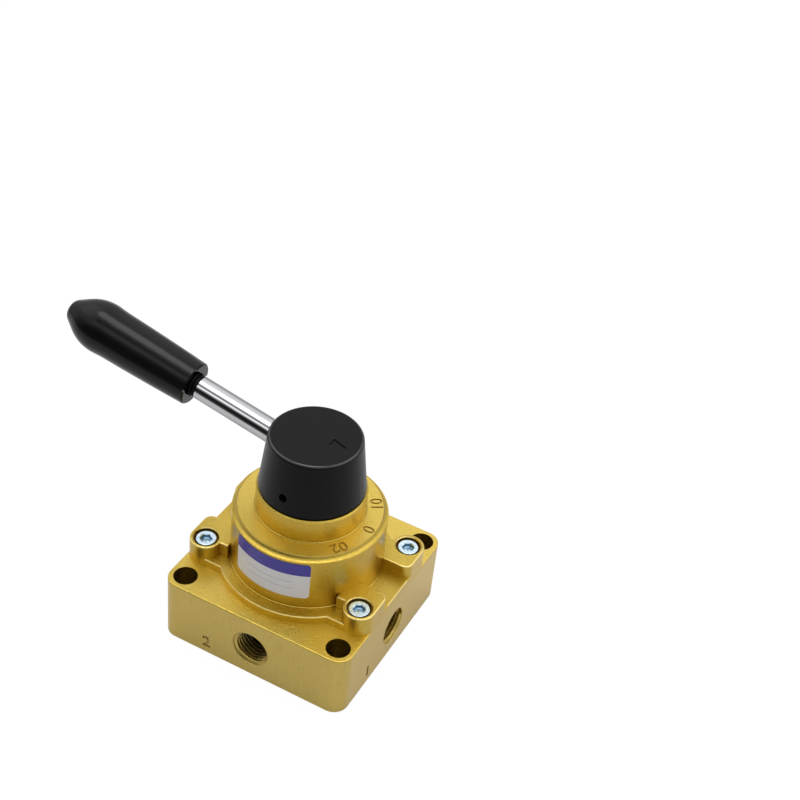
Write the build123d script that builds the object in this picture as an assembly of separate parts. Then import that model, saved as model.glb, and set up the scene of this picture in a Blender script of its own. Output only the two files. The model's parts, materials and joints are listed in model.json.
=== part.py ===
from build123d import *
import math
import os

# Hand lever air valve: a square ported block, a round bonnet screwed to it, and a lever
# that turns a flat rotary disc inside. Millimetres. The origin is the centre of the
# block's bottom face, +Z is up, +X is the neutral mark's side, and the lever rests at -X.

# Block
BODY_SIDE = 70.0
BODY_H = 25.0
CORNER_R = 5.3
BOTTOM_CHAMFER = 0.6
TOP_EDGE_R = 0.4

# Mounting holes through the block
MOUNT_PITCH = 58.6
MOUNT_R = 4.1

# Side ports, G1/4, one in the middle of each side
PORT_Z = 12.0
PORT_R = 6.58
PORT_DEPTH = 13.0
PORT_CHAMFER = 0.3
PASSAGE_R = 3.2
DRILL_POINT = 59.0

# Lapped seat on the block's top face and the kidney grooves that link its holes
SEAT_PITCH_R = 12.5
SEAT_HOLE_R = 3.0
KIDNEY_SPAN = 71.0
KIDNEY_R = 3.25
KIDNEY_DEPTH = 4.5

# Seal between block and bonnet
SEAL_GROOVE_R = (23.0, 25.8)
SEAL_GROOVE_DEPTH = 1.5
SEAL_WIDTH = 2.3
SEAL_CHAMFER = 0.4

# Bonnet
FLANGE_T = 3.0
FLANGE_R = 30.1
FLANGE_HALF_WIDTH = 22.0
FLANGE_CHAMFER = 0.3
DOME_R = 26.0
SHOULDER_Z = 50.0
SHOULDER_EDGE_R = 1.8
NECK_R = 18.4
NECK_TOP_Z = 59.0
NECK_CHAMFER = 0.5
CAST_FILLET = 0.4

# Ears that carry the bonnet screws
EAR_TOP_Z = 33.1
EAR_INNER_Y = 7.0
EAR_CORNER_R = 3.0
EAR_EDGE_R = 0.5
BOSS_R = 5.5
SCREW_X = 29.5
SCREW_Y = 17.05

# M4 socket head screws
SCREW_R = 2.0
SCREW_CLEARANCE_R = 2.25
SCREW_LENGTH = 16.0
HEAD_R = 3.5
HEAD_H = 4.0
HEAD_SEAT_Z = 28.5
COUNTERBORE_R = 4.3
COUNTERBORE_CHAMFER = 0.3
SCREW_HEX = 3.0
SCREW_HEX_DEPTH = 2.2

# Bonnet cavity
CAVITY_R = 21.0
CAVITY_TOP_Z = 45.0
CORE_R = (10.0, 14.6)
CORE_TOP_Z = 54.0
DETENT_STEP = 35.0
DETENT_NOTCH_R = 2.7
DETENT_NOTCH_DEPTH = 0.9
DETENT_NOTCH_TOP_Z = 43.0

# Spindle and its bush
SHAFT_R = 6.0
RUNNING_GAP = 0.05
BUSH_R = 8.0
BUSH_Z = (50.4, 58.6)
SPINDLE_FLANGE_R = 20.2
SPINDLE_FLANGE_Z = (34.5, 43.8)
PILOT_R = 4.5
PILOT_Z = 27.5
TAIL_R = 5.0
TAIL_TOP_Z = 73.0
TAIL_FLAT = 4.4
SHAFT_SEAL_Z = (46.6, 49.0)
SHAFT_SEAL_ROOT_R = 4.6
SHAFT_SEAL_SQUEEZE = 0.02
SEAL_SIDE_GAP = 0.2
WASHER_R = (6.3, 9.3)
WASHER_T = 1.0

# Rotor disc
DISC_R = 18.5
DISC_H = 8.0
DRIVE_PIN_R = 2.0
DRIVE_PIN_Z = (28.0, 40.0)
DISC_SPRING_R = 7.5
DISC_SPRING_WIRE_R = 0.7
DISC_SPRING_TURNS = 3.0
SPRING_POCKET_R = (5.9, 9.1)
SPRING_POCKET_Z = (29.0, 37.0)

# Detent balls, pushed outwards by their springs
BALL_R = 2.5
BALL_GAP = 0.15
BALL_Z = 39.15
BALL_HOLE_R = 2.6
BALL_HOLE_END = 9.5
DETENT_SPRING_R = 1.75
DETENT_SPRING_WIRE_R = 0.35
DETENT_SPRING_TURNS = 3.0

# Hub
HUB_Z = (59.4, 79.5)
HUB_R = (17.8, 15.45)
HUB_TOP_EDGE_R = 1.0
HUB_BOTTOM_CHAMFER = 0.3
POINTER_X = (5.5, 11.4)
POINTER_HALF_WIDTH = 1.9
POINTER_DEPTH = 0.35
SET_SCREW_Z = 64.9
SET_SCREW_TURN = -4.0
SET_SCREW_R = 1.5
SET_SCREW_LENGTH = 8.0
SET_SCREW_HEX = 1.5

# Lever rod and grip, measured along the rod's axis from the hub's axis
LEVER_Z = 70.2
LEVER_TILT = 11.4
ROD_R = 4.0
ROD_SPAN = (6.8, 70.0)
ROD_END_CHAMFER = 0.6
ROD_SHOULDER = 45.0
ROD_SHOULDER_CHAMFER = 0.2
ROD_THREAD_R = 3.7
GRIP_SPAN = (46.9, 97.8)
GRIP_START_R = 7.6
GRIP_MIDDLE = (8.22, 63.0)
GRIP_TAPER_END = (8.62, 79.0)
GRIP_SWELL = (8.93, 84.0)
GRIP_NOSE = [(7.6, 90.4), (4.55, 95.4)]
GRIP_MOUTH_CHAMFER = 0.5
GRIP_BORE_GAP = 0.05
GRIP_SLOT_WIDTH = 8.4
GRIP_SLOT_DEPTH = 0.5
GRIP_SLOT_TURN = -45.0
GRIP_POCKET_LENGTH = 13.0
GRIP_POCKET_DEPTH = 3.0

# Label wrapped round the dome
LABEL_SPAN = 63.0
LABEL_Z = (32.7, 47.4)
LABEL_T = 0.2
LABEL_CORNER_R = 1.2

SEAT_Z = BODY_H
SCREW_PLACES = [(SCREW_X, SCREW_Y), (-SCREW_X, SCREW_Y), (-SCREW_X, -SCREW_Y), (SCREW_X, -SCREW_Y)]
BALL_CENTRE_R = CAVITY_R - BALL_GAP - BALL_R
LEVER_FRAME = Pos(0, 0, LEVER_Z) * Rot(0, LEVER_TILT - 90, 0)
SET_SCREW_FRAME = Pos(0, 0, SET_SCREW_Z) * Rot(0, 0, SET_SCREW_TURN) * Rot(90, 0, 0)
ON_BASE = (Align.CENTER, Align.CENTER, Align.MIN)


def rod_between(radius, bottom, top):
    """Upright cylinder on the Z axis from one height to another."""
    return Pos(0, 0, bottom) * Cylinder(radius, top - bottom, align=ON_BASE)


def ring_between(inner, outer, bottom, top):
    """Upright ring on the Z axis."""
    return rod_between(outer, bottom, top) - rod_between(inner, bottom, top)


def drilled_hole(radius, bottom, top):
    """Blind hole with a drill point below its flat depth."""
    point = radius / math.tan(math.radians(DRILL_POINT))
    cone = Pos(0, 0, bottom - point) * Cone(0, radius, point, align=ON_BASE)
    return rod_between(radius, bottom, top) + cone


def countersink(radius, width, face):
    """Cutter for a 45 degree chamfer round a hole's mouth at a given height."""
    return Pos(0, 0, face - width) * Cone(radius, radius + 2 * width, 2 * width, align=ON_BASE)


def turned(profile):
    """Full turn of an (r, z) profile drawn in the XZ plane."""
    return revolve(make_face(profile), Axis.Z)


def spring_coil(radius, wire_r, turns, length):
    """Open coil along +Z, its wire centre from 0 to length."""
    helix = Helix(pitch=length / turns, height=length, radius=radius)
    section = Plane(origin=helix @ 0, z_dir=helix % 0) * RegularPolygon(wire_r, 4)
    return sweep(section, path=helix, is_frenet=True)


def port_drilling():
    """One side port: threaded mouth, drill cone, passage, and the riser to the seat."""
    half = BODY_SIDE / 2
    mouth = drilled_hole(PORT_R, half - PORT_DEPTH, half + 1) + countersink(PORT_R, PORT_CHAMFER, half)
    passage = drilled_hole(PASSAGE_R, SEAT_PITCH_R - 1, half - PORT_DEPTH)
    across = Pos(0, 0, PORT_Z) * Rot(0, 90, 0) * (mouth + passage)
    riser = Pos(SEAT_PITCH_R, 0, 0) * rod_between(SEAT_HOLE_R, PORT_Z, SEAT_Z + 1)
    return across + riser


def valve_body():
    """Square block with mounting holes, four ports, tapped holes and the seal groove."""
    block = extrude(RectangleRounded(BODY_SIDE, BODY_SIDE, CORNER_R), BODY_H)
    block = chamfer(block.faces().sort_by(Axis.Z)[0].edges(), BOTTOM_CHAMFER)
    block = fillet(block.faces().sort_by(Axis.Z)[-1].edges(), TOP_EDGE_R)
    hole = rod_between(MOUNT_R, -1, BODY_H + 1)
    block -= [place * hole for place in GridLocations(MOUNT_PITCH, MOUNT_PITCH, 2, 2)]
    tapped = drilled_hole(SCREW_R, HEAD_SEAT_Z - SCREW_LENGTH - 1, BODY_H + 1)
    block -= [Pos(x, y, 0) * tapped for x, y in SCREW_PLACES]
    block -= [Rot(0, 0, 90 * side) * port_drilling() for side in range(4)]
    return block - ring_between(*SEAL_GROOVE_R, BODY_H - SEAL_GROOVE_DEPTH, BODY_H + 1)


def flange_sketch():
    """Outline of the low flange: a disc, a strip across it and the four screw bosses."""
    outline = Circle(FLANGE_R) + Rectangle(2 * SCREW_X, 2 * FLANGE_HALF_WIDTH)
    outline += Rectangle(BODY_SIDE, 2 * SCREW_Y)
    for x, y in SCREW_PLACES:
        outline += Pos(x, y) * Circle(BOSS_R)
    return outline


def bonnet_ear():
    """Raised arm and boss of one screw, on the +X +Y side."""
    inner_x = CAVITY_R
    outer_x = BODY_SIDE / 2
    arm = Pos((inner_x + outer_x) / 2, (EAR_INNER_Y + SCREW_Y) / 2) * Rectangle(
        outer_x - inner_x, SCREW_Y - EAR_INNER_Y)
    arm = fillet(arm.vertices().group_by(Axis.X)[-1].sort_by(Axis.Y)[0], EAR_CORNER_R)
    ear = extrude(arm + Pos(SCREW_X, SCREW_Y) * Circle(BOSS_R), EAR_TOP_Z - BODY_H)
    return Pos(0, 0, BODY_H) * fillet(ear.faces().sort_by(Axis.Z)[-1].edges(), EAR_EDGE_R)


def bonnet_shell():
    """Turned outside of the dome, shoulder and neck, with the casting's fillets."""
    flange_top = BODY_H + FLANGE_T
    start = (0, BODY_H)
    foot = (DOME_R + CAST_FILLET, flange_top)
    dome = (DOME_R, flange_top + CAST_FILLET)
    dome_top = (DOME_R, SHOULDER_Z - SHOULDER_EDGE_R)
    shoulder = (DOME_R - SHOULDER_EDGE_R, SHOULDER_Z)
    neck_foot = (NECK_R + CAST_FILLET, SHOULDER_Z)
    neck = (NECK_R, SHOULDER_Z + CAST_FILLET)
    neck_top = (NECK_R, NECK_TOP_Z - NECK_CHAMFER)
    rim = (NECK_R - NECK_CHAMFER, NECK_TOP_Z)
    outline = [
        Line(start, (foot[0], BODY_H)),
        Line((foot[0], BODY_H), foot),
        RadiusArc(foot, dome, -CAST_FILLET),
        Line(dome, dome_top),
        RadiusArc(dome_top, shoulder, SHOULDER_EDGE_R),
        Line(shoulder, neck_foot),
        RadiusArc(neck_foot, neck, -CAST_FILLET),
        Line(neck, neck_top),
        Line(neck_top, rim),
        Line(rim, (0, NECK_TOP_Z)),
        Line((0, NECK_TOP_Z), start),
    ]
    return turned([Plane.XZ * piece for piece in outline])


def bonnet_cavity():
    """Turned inside: disc chamber, relieved roof, shaft bore and bush seat."""
    bore = SHAFT_R + RUNNING_GAP
    outline = Polyline(
        (0, BODY_H - 1),
        (CAVITY_R, BODY_H - 1),
        (CAVITY_R, CAVITY_TOP_Z),
        (CORE_R[1] + 0.4, CAVITY_TOP_Z),
        (CORE_R[1], CORE_TOP_Z),
        (CORE_R[0], CORE_TOP_Z),
        (CORE_R[0] - 0.4, CAVITY_TOP_Z),
        (bore, CAVITY_TOP_Z),
        (bore, BUSH_Z[0]),
        (BUSH_R, BUSH_Z[0]),
        (BUSH_R, NECK_TOP_Z + 1),
        (0, NECK_TOP_Z + 1),
        close=True)
    return turned(Plane.XZ * outline)


def bonnet():
    """Cast cover with ears, counterbored screw holes, cavity and detent notches."""
    flange = extrude(flange_sketch(), FLANGE_T)
    flange = chamfer(flange.faces().sort_by(Axis.Z)[-1].edges(), FLANGE_CHAMFER)
    cover = Pos(0, 0, BODY_H) * flange + bonnet_shell()
    ear = bonnet_ear()
    cover += [ear, mirror(ear, Plane.YZ), mirror(ear, Plane.XZ), mirror(mirror(ear, Plane.YZ), Plane.XZ)]
    cover -= bonnet_cavity()
    screw_hole = rod_between(SCREW_CLEARANCE_R, BODY_H - 1, EAR_TOP_Z)
    screw_hole += rod_between(COUNTERBORE_R, HEAD_SEAT_Z, EAR_TOP_Z + 1)
    screw_hole += countersink(COUNTERBORE_R, COUNTERBORE_CHAMFER, EAR_TOP_Z)
    cover -= [Pos(x, y, 0) * screw_hole for x, y in SCREW_PLACES]
    notch_r = CAVITY_R + DETENT_NOTCH_DEPTH - DETENT_NOTCH_R
    notch = Pos(notch_r, 0, 0) * rod_between(DETENT_NOTCH_R, BODY_H - 1, DETENT_NOTCH_TOP_Z)
    for side in (0, 180):
        for step in (-DETENT_STEP, 0, DETENT_STEP):
            cover -= Rot(0, 0, side + step) * notch
    return cover


def bonnet_seal():
    """Square-cut seal ring lying in its groove."""
    middle = (SEAL_GROOVE_R[0] + SEAL_GROOVE_R[1]) / 2
    ring = ring_between(middle - SEAL_WIDTH / 2, middle + SEAL_WIDTH / 2, BODY_H - SEAL_GROOVE_DEPTH, BODY_H)
    return chamfer(ring.edges().filter_by(GeomType.CIRCLE), SEAL_CHAMFER)


def bonnet_screw(x, y):
    """Socket head cap screw, head in its counterbore and shank in the block."""
    head = rod_between(HEAD_R, HEAD_SEAT_Z, HEAD_SEAT_Z + HEAD_H)
    head = chamfer(head.edges().sort_by(Axis.Z)[-1], 0.3)
    shank = rod_between(SCREW_R, HEAD_SEAT_Z - SCREW_LENGTH, HEAD_SEAT_Z)
    shank = chamfer(shank.edges().sort_by(Axis.Z)[0], 0.4)
    socket = extrude(RegularPolygon(SCREW_HEX / 2, 6, major_radius=False), SCREW_HEX_DEPTH + 1)
    screw = head + shank - Pos(0, 0, HEAD_SEAT_Z + HEAD_H - SCREW_HEX_DEPTH) * socket
    return Pos(x, y, 0) * screw


def shaft_bush():
    """Plain bearing pressed into the neck."""
    return ring_between(SHAFT_R + RUNNING_GAP, BUSH_R, *BUSH_Z)


def name_label():
    """Foil label bent round the dome, bare of text, with rounded corners."""
    half_width = DOME_R * math.sin(math.radians(LABEL_SPAN / 2))
    outline = RectangleRounded(2 * half_width, LABEL_Z[1] - LABEL_Z[0], LABEL_CORNER_R)
    window = extrude(Plane.XZ * Pos(0, sum(LABEL_Z) / 2) * outline, DOME_R + 1)
    return window & ring_between(DOME_R, DOME_R + LABEL_T, *LABEL_Z)


def drive_pin_holes(gap):
    """The two drive pins as cutters, a gap wider than the pins."""
    pin = rod_between(DRIVE_PIN_R + gap, DRIVE_PIN_Z[0] - gap, DRIVE_PIN_Z[1] + gap)
    return [Pos(0, side * SEAT_PITCH_R, 0) * pin for side in (1, -1)]


def spring_pocket():
    """Ring-shaped pocket shared by the disc below and the spindle flange above."""
    return ring_between(*SPRING_POCKET_R, *SPRING_POCKET_Z)


def spindle():
    """Turned shaft: pilot, flange with ball holes, journal, seal groove and flatted tail."""
    shaft = rod_between(PILOT_R, PILOT_Z, SPINDLE_FLANGE_Z[0])
    flange = rod_between(SPINDLE_FLANGE_R, *SPINDLE_FLANGE_Z)
    shaft += chamfer(flange.edges().filter_by(GeomType.CIRCLE), 0.4)
    shaft += rod_between(SHAFT_R, SPINDLE_FLANGE_Z[1], HUB_Z[0])
    tail = rod_between(TAIL_R, HUB_Z[0], TAIL_TOP_Z)
    shaft += chamfer(tail.edges().sort_by(Axis.Z)[-1], 0.6)
    shaft -= ring_between(SHAFT_SEAL_ROOT_R, SHAFT_R + 1, *SHAFT_SEAL_Z)
    flat = Box(2 * TAIL_R, TAIL_R, TAIL_TOP_Z, align=(Align.CENTER, Align.MAX, Align.MIN))
    shaft -= Rot(0, 0, SET_SCREW_TURN) * Pos(0, -TAIL_FLAT, HUB_Z[0] + 1) * flat
    shaft -= spring_pocket()
    shaft -= drive_pin_holes(0)
    ball_hole = Rot(0, 90, 0) * drilled_hole(BALL_HOLE_R, BALL_HOLE_END, SPINDLE_FLANGE_R + 1)
    return shaft - [Rot(0, 0, side) * Pos(0, 0, BALL_Z) * ball_hole for side in (0, 180)]


def kidney_groove():
    """Curved groove in the disc's sealing face, centred on +X, with round ends."""
    end_turn = math.degrees(math.asin(KIDNEY_R / SEAT_PITCH_R))
    half_turn = KIDNEY_SPAN - end_turn
    section = Plane.XZ * Pos(SEAT_PITCH_R, SEAT_Z + KIDNEY_DEPTH / 2 - 0.5) * Rectangle(
        2 * KIDNEY_R, KIDNEY_DEPTH + 1)
    groove = Rot(0, 0, -half_turn) * revolve(section, Axis.Z, 2 * half_turn)
    end = Pos(SEAT_PITCH_R, 0, 0) * rod_between(KIDNEY_R, SEAT_Z - 1, SEAT_Z + KIDNEY_DEPTH)
    return groove + [Rot(0, 0, side * half_turn) * end for side in (1, -1)]


def rotor_disc():
    """Flat valve disc: two kidney grooves below, pilot hole, spring pocket and pin holes above."""
    disc = rod_between(DISC_R, SEAT_Z, SEAT_Z + DISC_H)
    disc = chamfer(disc.edges(), 0.4)
    disc -= rod_between(PILOT_R + RUNNING_GAP, PILOT_Z - 0.5, SEAT_Z + DISC_H + 1)
    disc -= spring_pocket()
    disc -= drive_pin_holes(RUNNING_GAP)
    return disc - [Rot(0, 0, side) * kidney_groove() for side in (0, 180)]


def drive_pin(side):
    """Dowel that carries the spindle's turn into the disc."""
    pin = chamfer(rod_between(DRIVE_PIN_R, *DRIVE_PIN_Z).edges().filter_by(GeomType.CIRCLE), 0.3)
    return Pos(0, side * SEAT_PITCH_R, 0) * pin


def disc_spring():
    """Coil that presses the disc on its seat."""
    bottom = SPRING_POCKET_Z[0] + DISC_SPRING_WIRE_R
    length = SPRING_POCKET_Z[1] - SPRING_POCKET_Z[0] - 2 * DISC_SPRING_WIRE_R
    return Pos(0, 0, bottom) * spring_coil(DISC_SPRING_R, DISC_SPRING_WIRE_R, DISC_SPRING_TURNS, length)


def detent_spring(side):
    """Small coil behind one detent ball."""
    start = BALL_HOLE_END + DETENT_SPRING_WIRE_R
    ball_back = BALL_CENTRE_R - math.sqrt(BALL_R ** 2 - DETENT_SPRING_R ** 2)
    length = ball_back - DETENT_SPRING_WIRE_R * 1.4 - start
    coil = spring_coil(DETENT_SPRING_R, DETENT_SPRING_WIRE_R, DETENT_SPRING_TURNS, length)
    return Rot(0, 0, side) * Pos(start, 0, BALL_Z) * Rot(0, 90, 0) * coil


def detent_ball(side):
    """Ball that clicks into the bonnet's notches."""
    return Rot(0, 0, side) * Pos(BALL_CENTRE_R, 0, BALL_Z) * Sphere(BALL_R)


def shaft_seal():
    """Square-cut seal ring in the spindle's groove, just clear of the bonnet's bore."""
    bottom = SHAFT_SEAL_Z[0] + SEAL_SIDE_GAP
    top = SHAFT_SEAL_Z[1] - SEAL_SIDE_GAP
    ring = ring_between(SHAFT_SEAL_ROOT_R, SHAFT_R + SHAFT_SEAL_SQUEEZE, bottom, top)
    return chamfer(ring.edges().filter_by(GeomType.CIRCLE), SEAL_SIDE_GAP)


def thrust_washer():
    """Washer between the spindle's flange and the bonnet's roof."""
    return ring_between(*WASHER_R, SPINDLE_FLANGE_Z[1], SPINDLE_FLANGE_Z[1] + WASHER_T)


def hub_cone():
    """Turned outside of the hub, with a rounded top edge."""
    cone = Pos(0, 0, HUB_Z[0]) * Cone(HUB_R[0], HUB_R[1], HUB_Z[1] - HUB_Z[0], align=ON_BASE)
    rims = cone.edges().filter_by(GeomType.CIRCLE).sort_by(Axis.Z)
    cone = fillet(rims[-1], HUB_TOP_EDGE_R)
    rims = cone.edges().filter_by(GeomType.CIRCLE).sort_by(Axis.Z)
    return chamfer(rims[0], HUB_BOTTOM_CHAMFER)


def lever_hub():
    """Black hub: bore for the spindle, hole for the rod, set screw hole and pointer recess."""
    hub = hub_cone() - rod_between(TAIL_R, HUB_Z[0] - 1, TAIL_TOP_Z + 0.5)
    hub -= LEVER_FRAME * rod_between(ROD_R, ROD_SPAN[0] - 0.3, HUB_R[0] + 10)
    hub -= SET_SCREW_FRAME * rod_between(SET_SCREW_R, 0, HUB_R[0] + 1)
    base_x, tip_x = POINTER_X
    corners = [(base_x, POINTER_HALF_WIDTH), (base_x, -POINTER_HALF_WIDTH), (tip_x, 0)]
    pointer = extrude(make_face(Polyline(*corners, close=True)), POINTER_DEPTH + 1)
    return hub - Pos(0, 0, HUB_Z[1] - POINTER_DEPTH) * pointer


def hub_set_screw():
    """Grub screw that grips the flat on the spindle's tail."""
    grub = rod_between(SET_SCREW_R, 0, SET_SCREW_LENGTH)
    grub = chamfer(grub.edges().filter_by(GeomType.CIRCLE), 0.3)
    socket = extrude(RegularPolygon(SET_SCREW_HEX / 2, 6, major_radius=False), 3)
    grub -= Pos(0, 0, SET_SCREW_LENGTH - 2) * socket
    return SET_SCREW_FRAME * Pos(0, 0, TAIL_FLAT) * grub


def lever_rod():
    """Plated rod, pressed into the hub; its far end carries the thread for the grip."""
    shank = rod_between(ROD_R, ROD_SPAN[0], ROD_SHOULDER)
    rims = shank.edges().filter_by(GeomType.CIRCLE).sort_by(Axis.Z)
    shank = chamfer(rims[-1], ROD_SHOULDER_CHAMFER)
    rims = shank.edges().filter_by(GeomType.CIRCLE).sort_by(Axis.Z)
    shank = chamfer(rims[0], ROD_END_CHAMFER)
    thread = rod_between(ROD_THREAD_R, ROD_SHOULDER, ROD_SPAN[1])
    thread = chamfer(thread.edges().filter_by(GeomType.CIRCLE).sort_by(Axis.Z)[-1], ROD_END_CHAMFER)
    return LEVER_FRAME * (shank + thread)


def grip_body():
    """Turned outside of the grip: slow taper, a slight swell, then a rounded nose."""
    start, end = GRIP_SPAN
    mouth = (GRIP_START_R, start + GRIP_MOUTH_CHAMFER)
    taper = ThreePointArc(mouth, GRIP_MIDDLE, GRIP_TAPER_END)
    outline = [
        Polyline((0, start), (GRIP_START_R - GRIP_MOUTH_CHAMFER, start), mouth),
        taper,
        Spline(GRIP_TAPER_END, GRIP_SWELL, *GRIP_NOSE, (0, end), tangents=(taper % 1, (-1, 0))),
        Line((0, end), (0, start)),
    ]
    return turned([Plane.XZ * piece for piece in outline])


def lever_grip():
    """Moulded grip: blind bore, a long pocket in its mouth and a shallow slot across it."""
    start = GRIP_SPAN[0]
    grip = grip_body() - rod_between(ROD_THREAD_R + GRIP_BORE_GAP, start, ROD_SPAN[1] + 0.5)
    slot = Box(4 * GRIP_START_R, GRIP_SLOT_WIDTH, 2 * GRIP_SLOT_DEPTH)
    pocket = extrude(SlotOverall(GRIP_POCKET_LENGTH, GRIP_SLOT_WIDTH), GRIP_POCKET_DEPTH)
    return LEVER_FRAME * (grip - Pos(0, 0, start) * Rot(0, 0, GRIP_SLOT_TURN) * (slot + pocket))


def all_parts():
    """Every piece under the name of its file."""
    parts = {
        "valve_body": valve_body(),
        "bonnet": bonnet(),
        "bonnet_seal": bonnet_seal(),
        "shaft_bush": shaft_bush(),
        "name_label": name_label(),
        "spindle": spindle(),
        "rotor_disc": rotor_disc(),
        "disc_spring": disc_spring(),
        "shaft_seal": shaft_seal(),
        "thrust_washer": thrust_washer(),
        "lever_hub": lever_hub(),
        "hub_set_screw": hub_set_screw(),
        "lever_rod": lever_rod(),
        "lever_grip": lever_grip(),
    }
    for number, (x, y) in enumerate(SCREW_PLACES, 1):
        parts[f"bonnet_screw_{number}"] = bonnet_screw(x, y)
    for number, side in enumerate((1, -1), 1):
        parts[f"drive_pin_{number}"] = drive_pin(side)
    for number, side in enumerate((0, 180), 1):
        parts[f"detent_spring_{number}"] = detent_spring(side)
        parts[f"detent_ball_{number}"] = detent_ball(side)
    return parts


os.makedirs("parts", exist_ok=True)
for name, solid in all_parts().items():
    export_step(solid, f"parts/{name}.step")
    print(name, round(solid.volume, 1))
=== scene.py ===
# %% [markdown]
# Hand lever air valve. The construction arrives ready made: a ported block, a round bonnet screwed
# to it, and a hub with a rod and a grip that turns on top. This lesson dresses it, piece by piece,
# and everything is in metres in the construction's own frame, so nothing has to be fitted by eye.

# %% Load the frame
import json
import math

import bmesh
import bpy
from mathutils import Matrix, Vector


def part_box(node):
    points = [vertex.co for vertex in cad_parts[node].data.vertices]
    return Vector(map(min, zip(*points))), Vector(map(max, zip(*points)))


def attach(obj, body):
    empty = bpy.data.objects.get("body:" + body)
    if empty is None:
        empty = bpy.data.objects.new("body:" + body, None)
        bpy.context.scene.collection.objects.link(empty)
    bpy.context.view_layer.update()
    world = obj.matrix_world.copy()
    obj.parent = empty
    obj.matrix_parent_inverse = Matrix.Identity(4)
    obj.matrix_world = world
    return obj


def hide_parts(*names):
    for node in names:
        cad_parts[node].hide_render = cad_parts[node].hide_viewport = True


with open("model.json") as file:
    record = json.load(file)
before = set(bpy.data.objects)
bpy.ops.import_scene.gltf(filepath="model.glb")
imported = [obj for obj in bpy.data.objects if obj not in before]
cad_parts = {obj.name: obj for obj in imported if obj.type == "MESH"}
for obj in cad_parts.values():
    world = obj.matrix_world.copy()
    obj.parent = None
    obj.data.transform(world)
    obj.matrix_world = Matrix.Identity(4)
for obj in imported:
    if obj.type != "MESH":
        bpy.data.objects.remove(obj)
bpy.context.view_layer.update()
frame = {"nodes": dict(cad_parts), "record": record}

MM = 0.001

# %% [markdown]
# A finish is a small network of nodes. Wiring it by hand takes a line for every node and link, so a
# tiny class wraps one output socket and lets Python's own signs do the sums: grain * 0.2 + 0.4 adds
# two Math nodes by itself. Every other kind of node comes from one method, add, which sets the
# node's own settings first and its sockets afterwards.

# %% A socket that does sums
class Wire:
    """One output socket of a node tree, or the bare tree when no socket is given."""

    def __init__(self, tree, socket=None):
        self.tree = tree
        self.socket = socket

    def add(self, kind, settings=None, inputs=None, output=0):
        """Adds a node: its settings first, then the values or links of its sockets."""
        node = self.tree.nodes.new(kind)
        for name, value in (settings or {}).items():
            setattr(node, name, value)
        for name, value in (inputs or {}).items():
            if isinstance(value, Wire):
                self.tree.links.new(value.socket, node.inputs[name])
            else:
                node.inputs[name].default_value = value
        return Wire(self.tree, node.outputs[output])

    def maths(self, operation, *others):
        """A Math node whose first value is this one."""
        return self.add("ShaderNodeMath", {"operation": operation}, dict(enumerate((self, *others))))

    def __add__(self, other):
        return self.maths("ADD", other)

    def __sub__(self, other):
        return self.maths("SUBTRACT", other)

    def __rsub__(self, other):
        return self.maths("MULTIPLY_ADD", -1, other)

    def __mul__(self, other):
        return self.maths("MULTIPLY", other)

    def __truediv__(self, other):
        return self.maths("DIVIDE", other)

    def __pow__(self, other):
        return self.maths("POWER", other)

    def __abs__(self):
        return self.maths("ABSOLUTE")

    def __gt__(self, other):
        return self.maths("GREATER_THAN", other)

    def __lt__(self, other):
        return self.maths("LESS_THAN", other)

    __radd__ = __add__
    __rmul__ = __mul__

    def along(self, direction):
        """How far this vector reaches along a direction."""
        inputs = {0: self, 1: direction}
        return self.add("ShaderNodeVectorMath", {"operation": "DOT_PRODUCT"}, inputs, output="Value")

    def axes(self):
        """The x, y and z of this vector, as three wires."""
        outputs = self.add("ShaderNodeSeparateXYZ", None, {0: self}).socket.node.outputs
        return [Wire(self.tree, outputs[axis]) for axis in "XYZ"]

    def ramp(self, low, high):
        """0 below low, 1 above high, smooth between them."""
        inputs = {"Value": self, "From Min": low, "From Max": high}
        return self.add("ShaderNodeMapRange", {"interpolation_type": "SMOOTHSTEP"}, inputs)

    def noise(self, size, detail=2.0, roughness=0.5):
        """Soft random pattern, from 0 to 1, whose blotches are about size metres across."""
        inputs = {"Vector": self, "Scale": 1 / size, "Detail": detail, "Roughness": roughness}
        return self.add("ShaderNodeTexNoise", None, inputs)

    def colours(self, low, high):
        """A colour that runs from low to high as this value runs from 0 to 1."""
        inputs = {0: self, 6: low, 7: high}
        return self.add("ShaderNodeMix", {"data_type": "RGBA"}, inputs, output=2)


class Finish:
    """A new material with one Principled shader, and the point of the surface to hang patterns on."""

    def __init__(self, name, **sockets):
        self.material = bpy.data.materials.new(name)
        self.material.use_nodes = True
        self.tree = self.material.node_tree
        self.shader = self.tree.nodes["Principled BSDF"]
        self.place = Wire(self.tree).add("ShaderNodeTexCoord", output="Object")
        self.set(**sockets)

    def set(self, **sockets):
        """Sets or links the shader's sockets: base_color goes to Base Color, and so on."""
        for name, value in sockets.items():
            title = name.replace("_", " ").title().replace("Ior", "IOR")
            if isinstance(value, Wire):
                self.tree.links.new(value.socket, self.shader.inputs[title])
            else:
                self.shader.inputs[title].default_value = value

    def relief(self, height, depth, strength=1.0):
        """Bump from a 0 to 1 height, depth metres deep."""
        inputs = {"Height": height, "Distance": depth, "Strength": strength}
        self.set(normal=height.add("ShaderNodeBump", None, inputs))


def rgb(red, green, blue):
    """A colour written as the 0 to 255 values of a screen, in the shader's linear light."""
    shares = [value / 255 for value in (red, green, blue)]
    return (*[s / 12.92 if s <= 0.04 else ((s + 0.055) / 1.055) ** 2.4 for s in shares], 1.0)


print("a mid grey of 128 is", round(rgb(128, 128, 128)[0], 3), "in linear light")

# %% [markdown]
# The camera stands a little to the right of the label and well above it, and it is rolled a few
# degrees clockwise. Place, lens and turn were solved together with the sizes of the valve, so they
# are written as they came out and the framing needs no shift.

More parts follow.
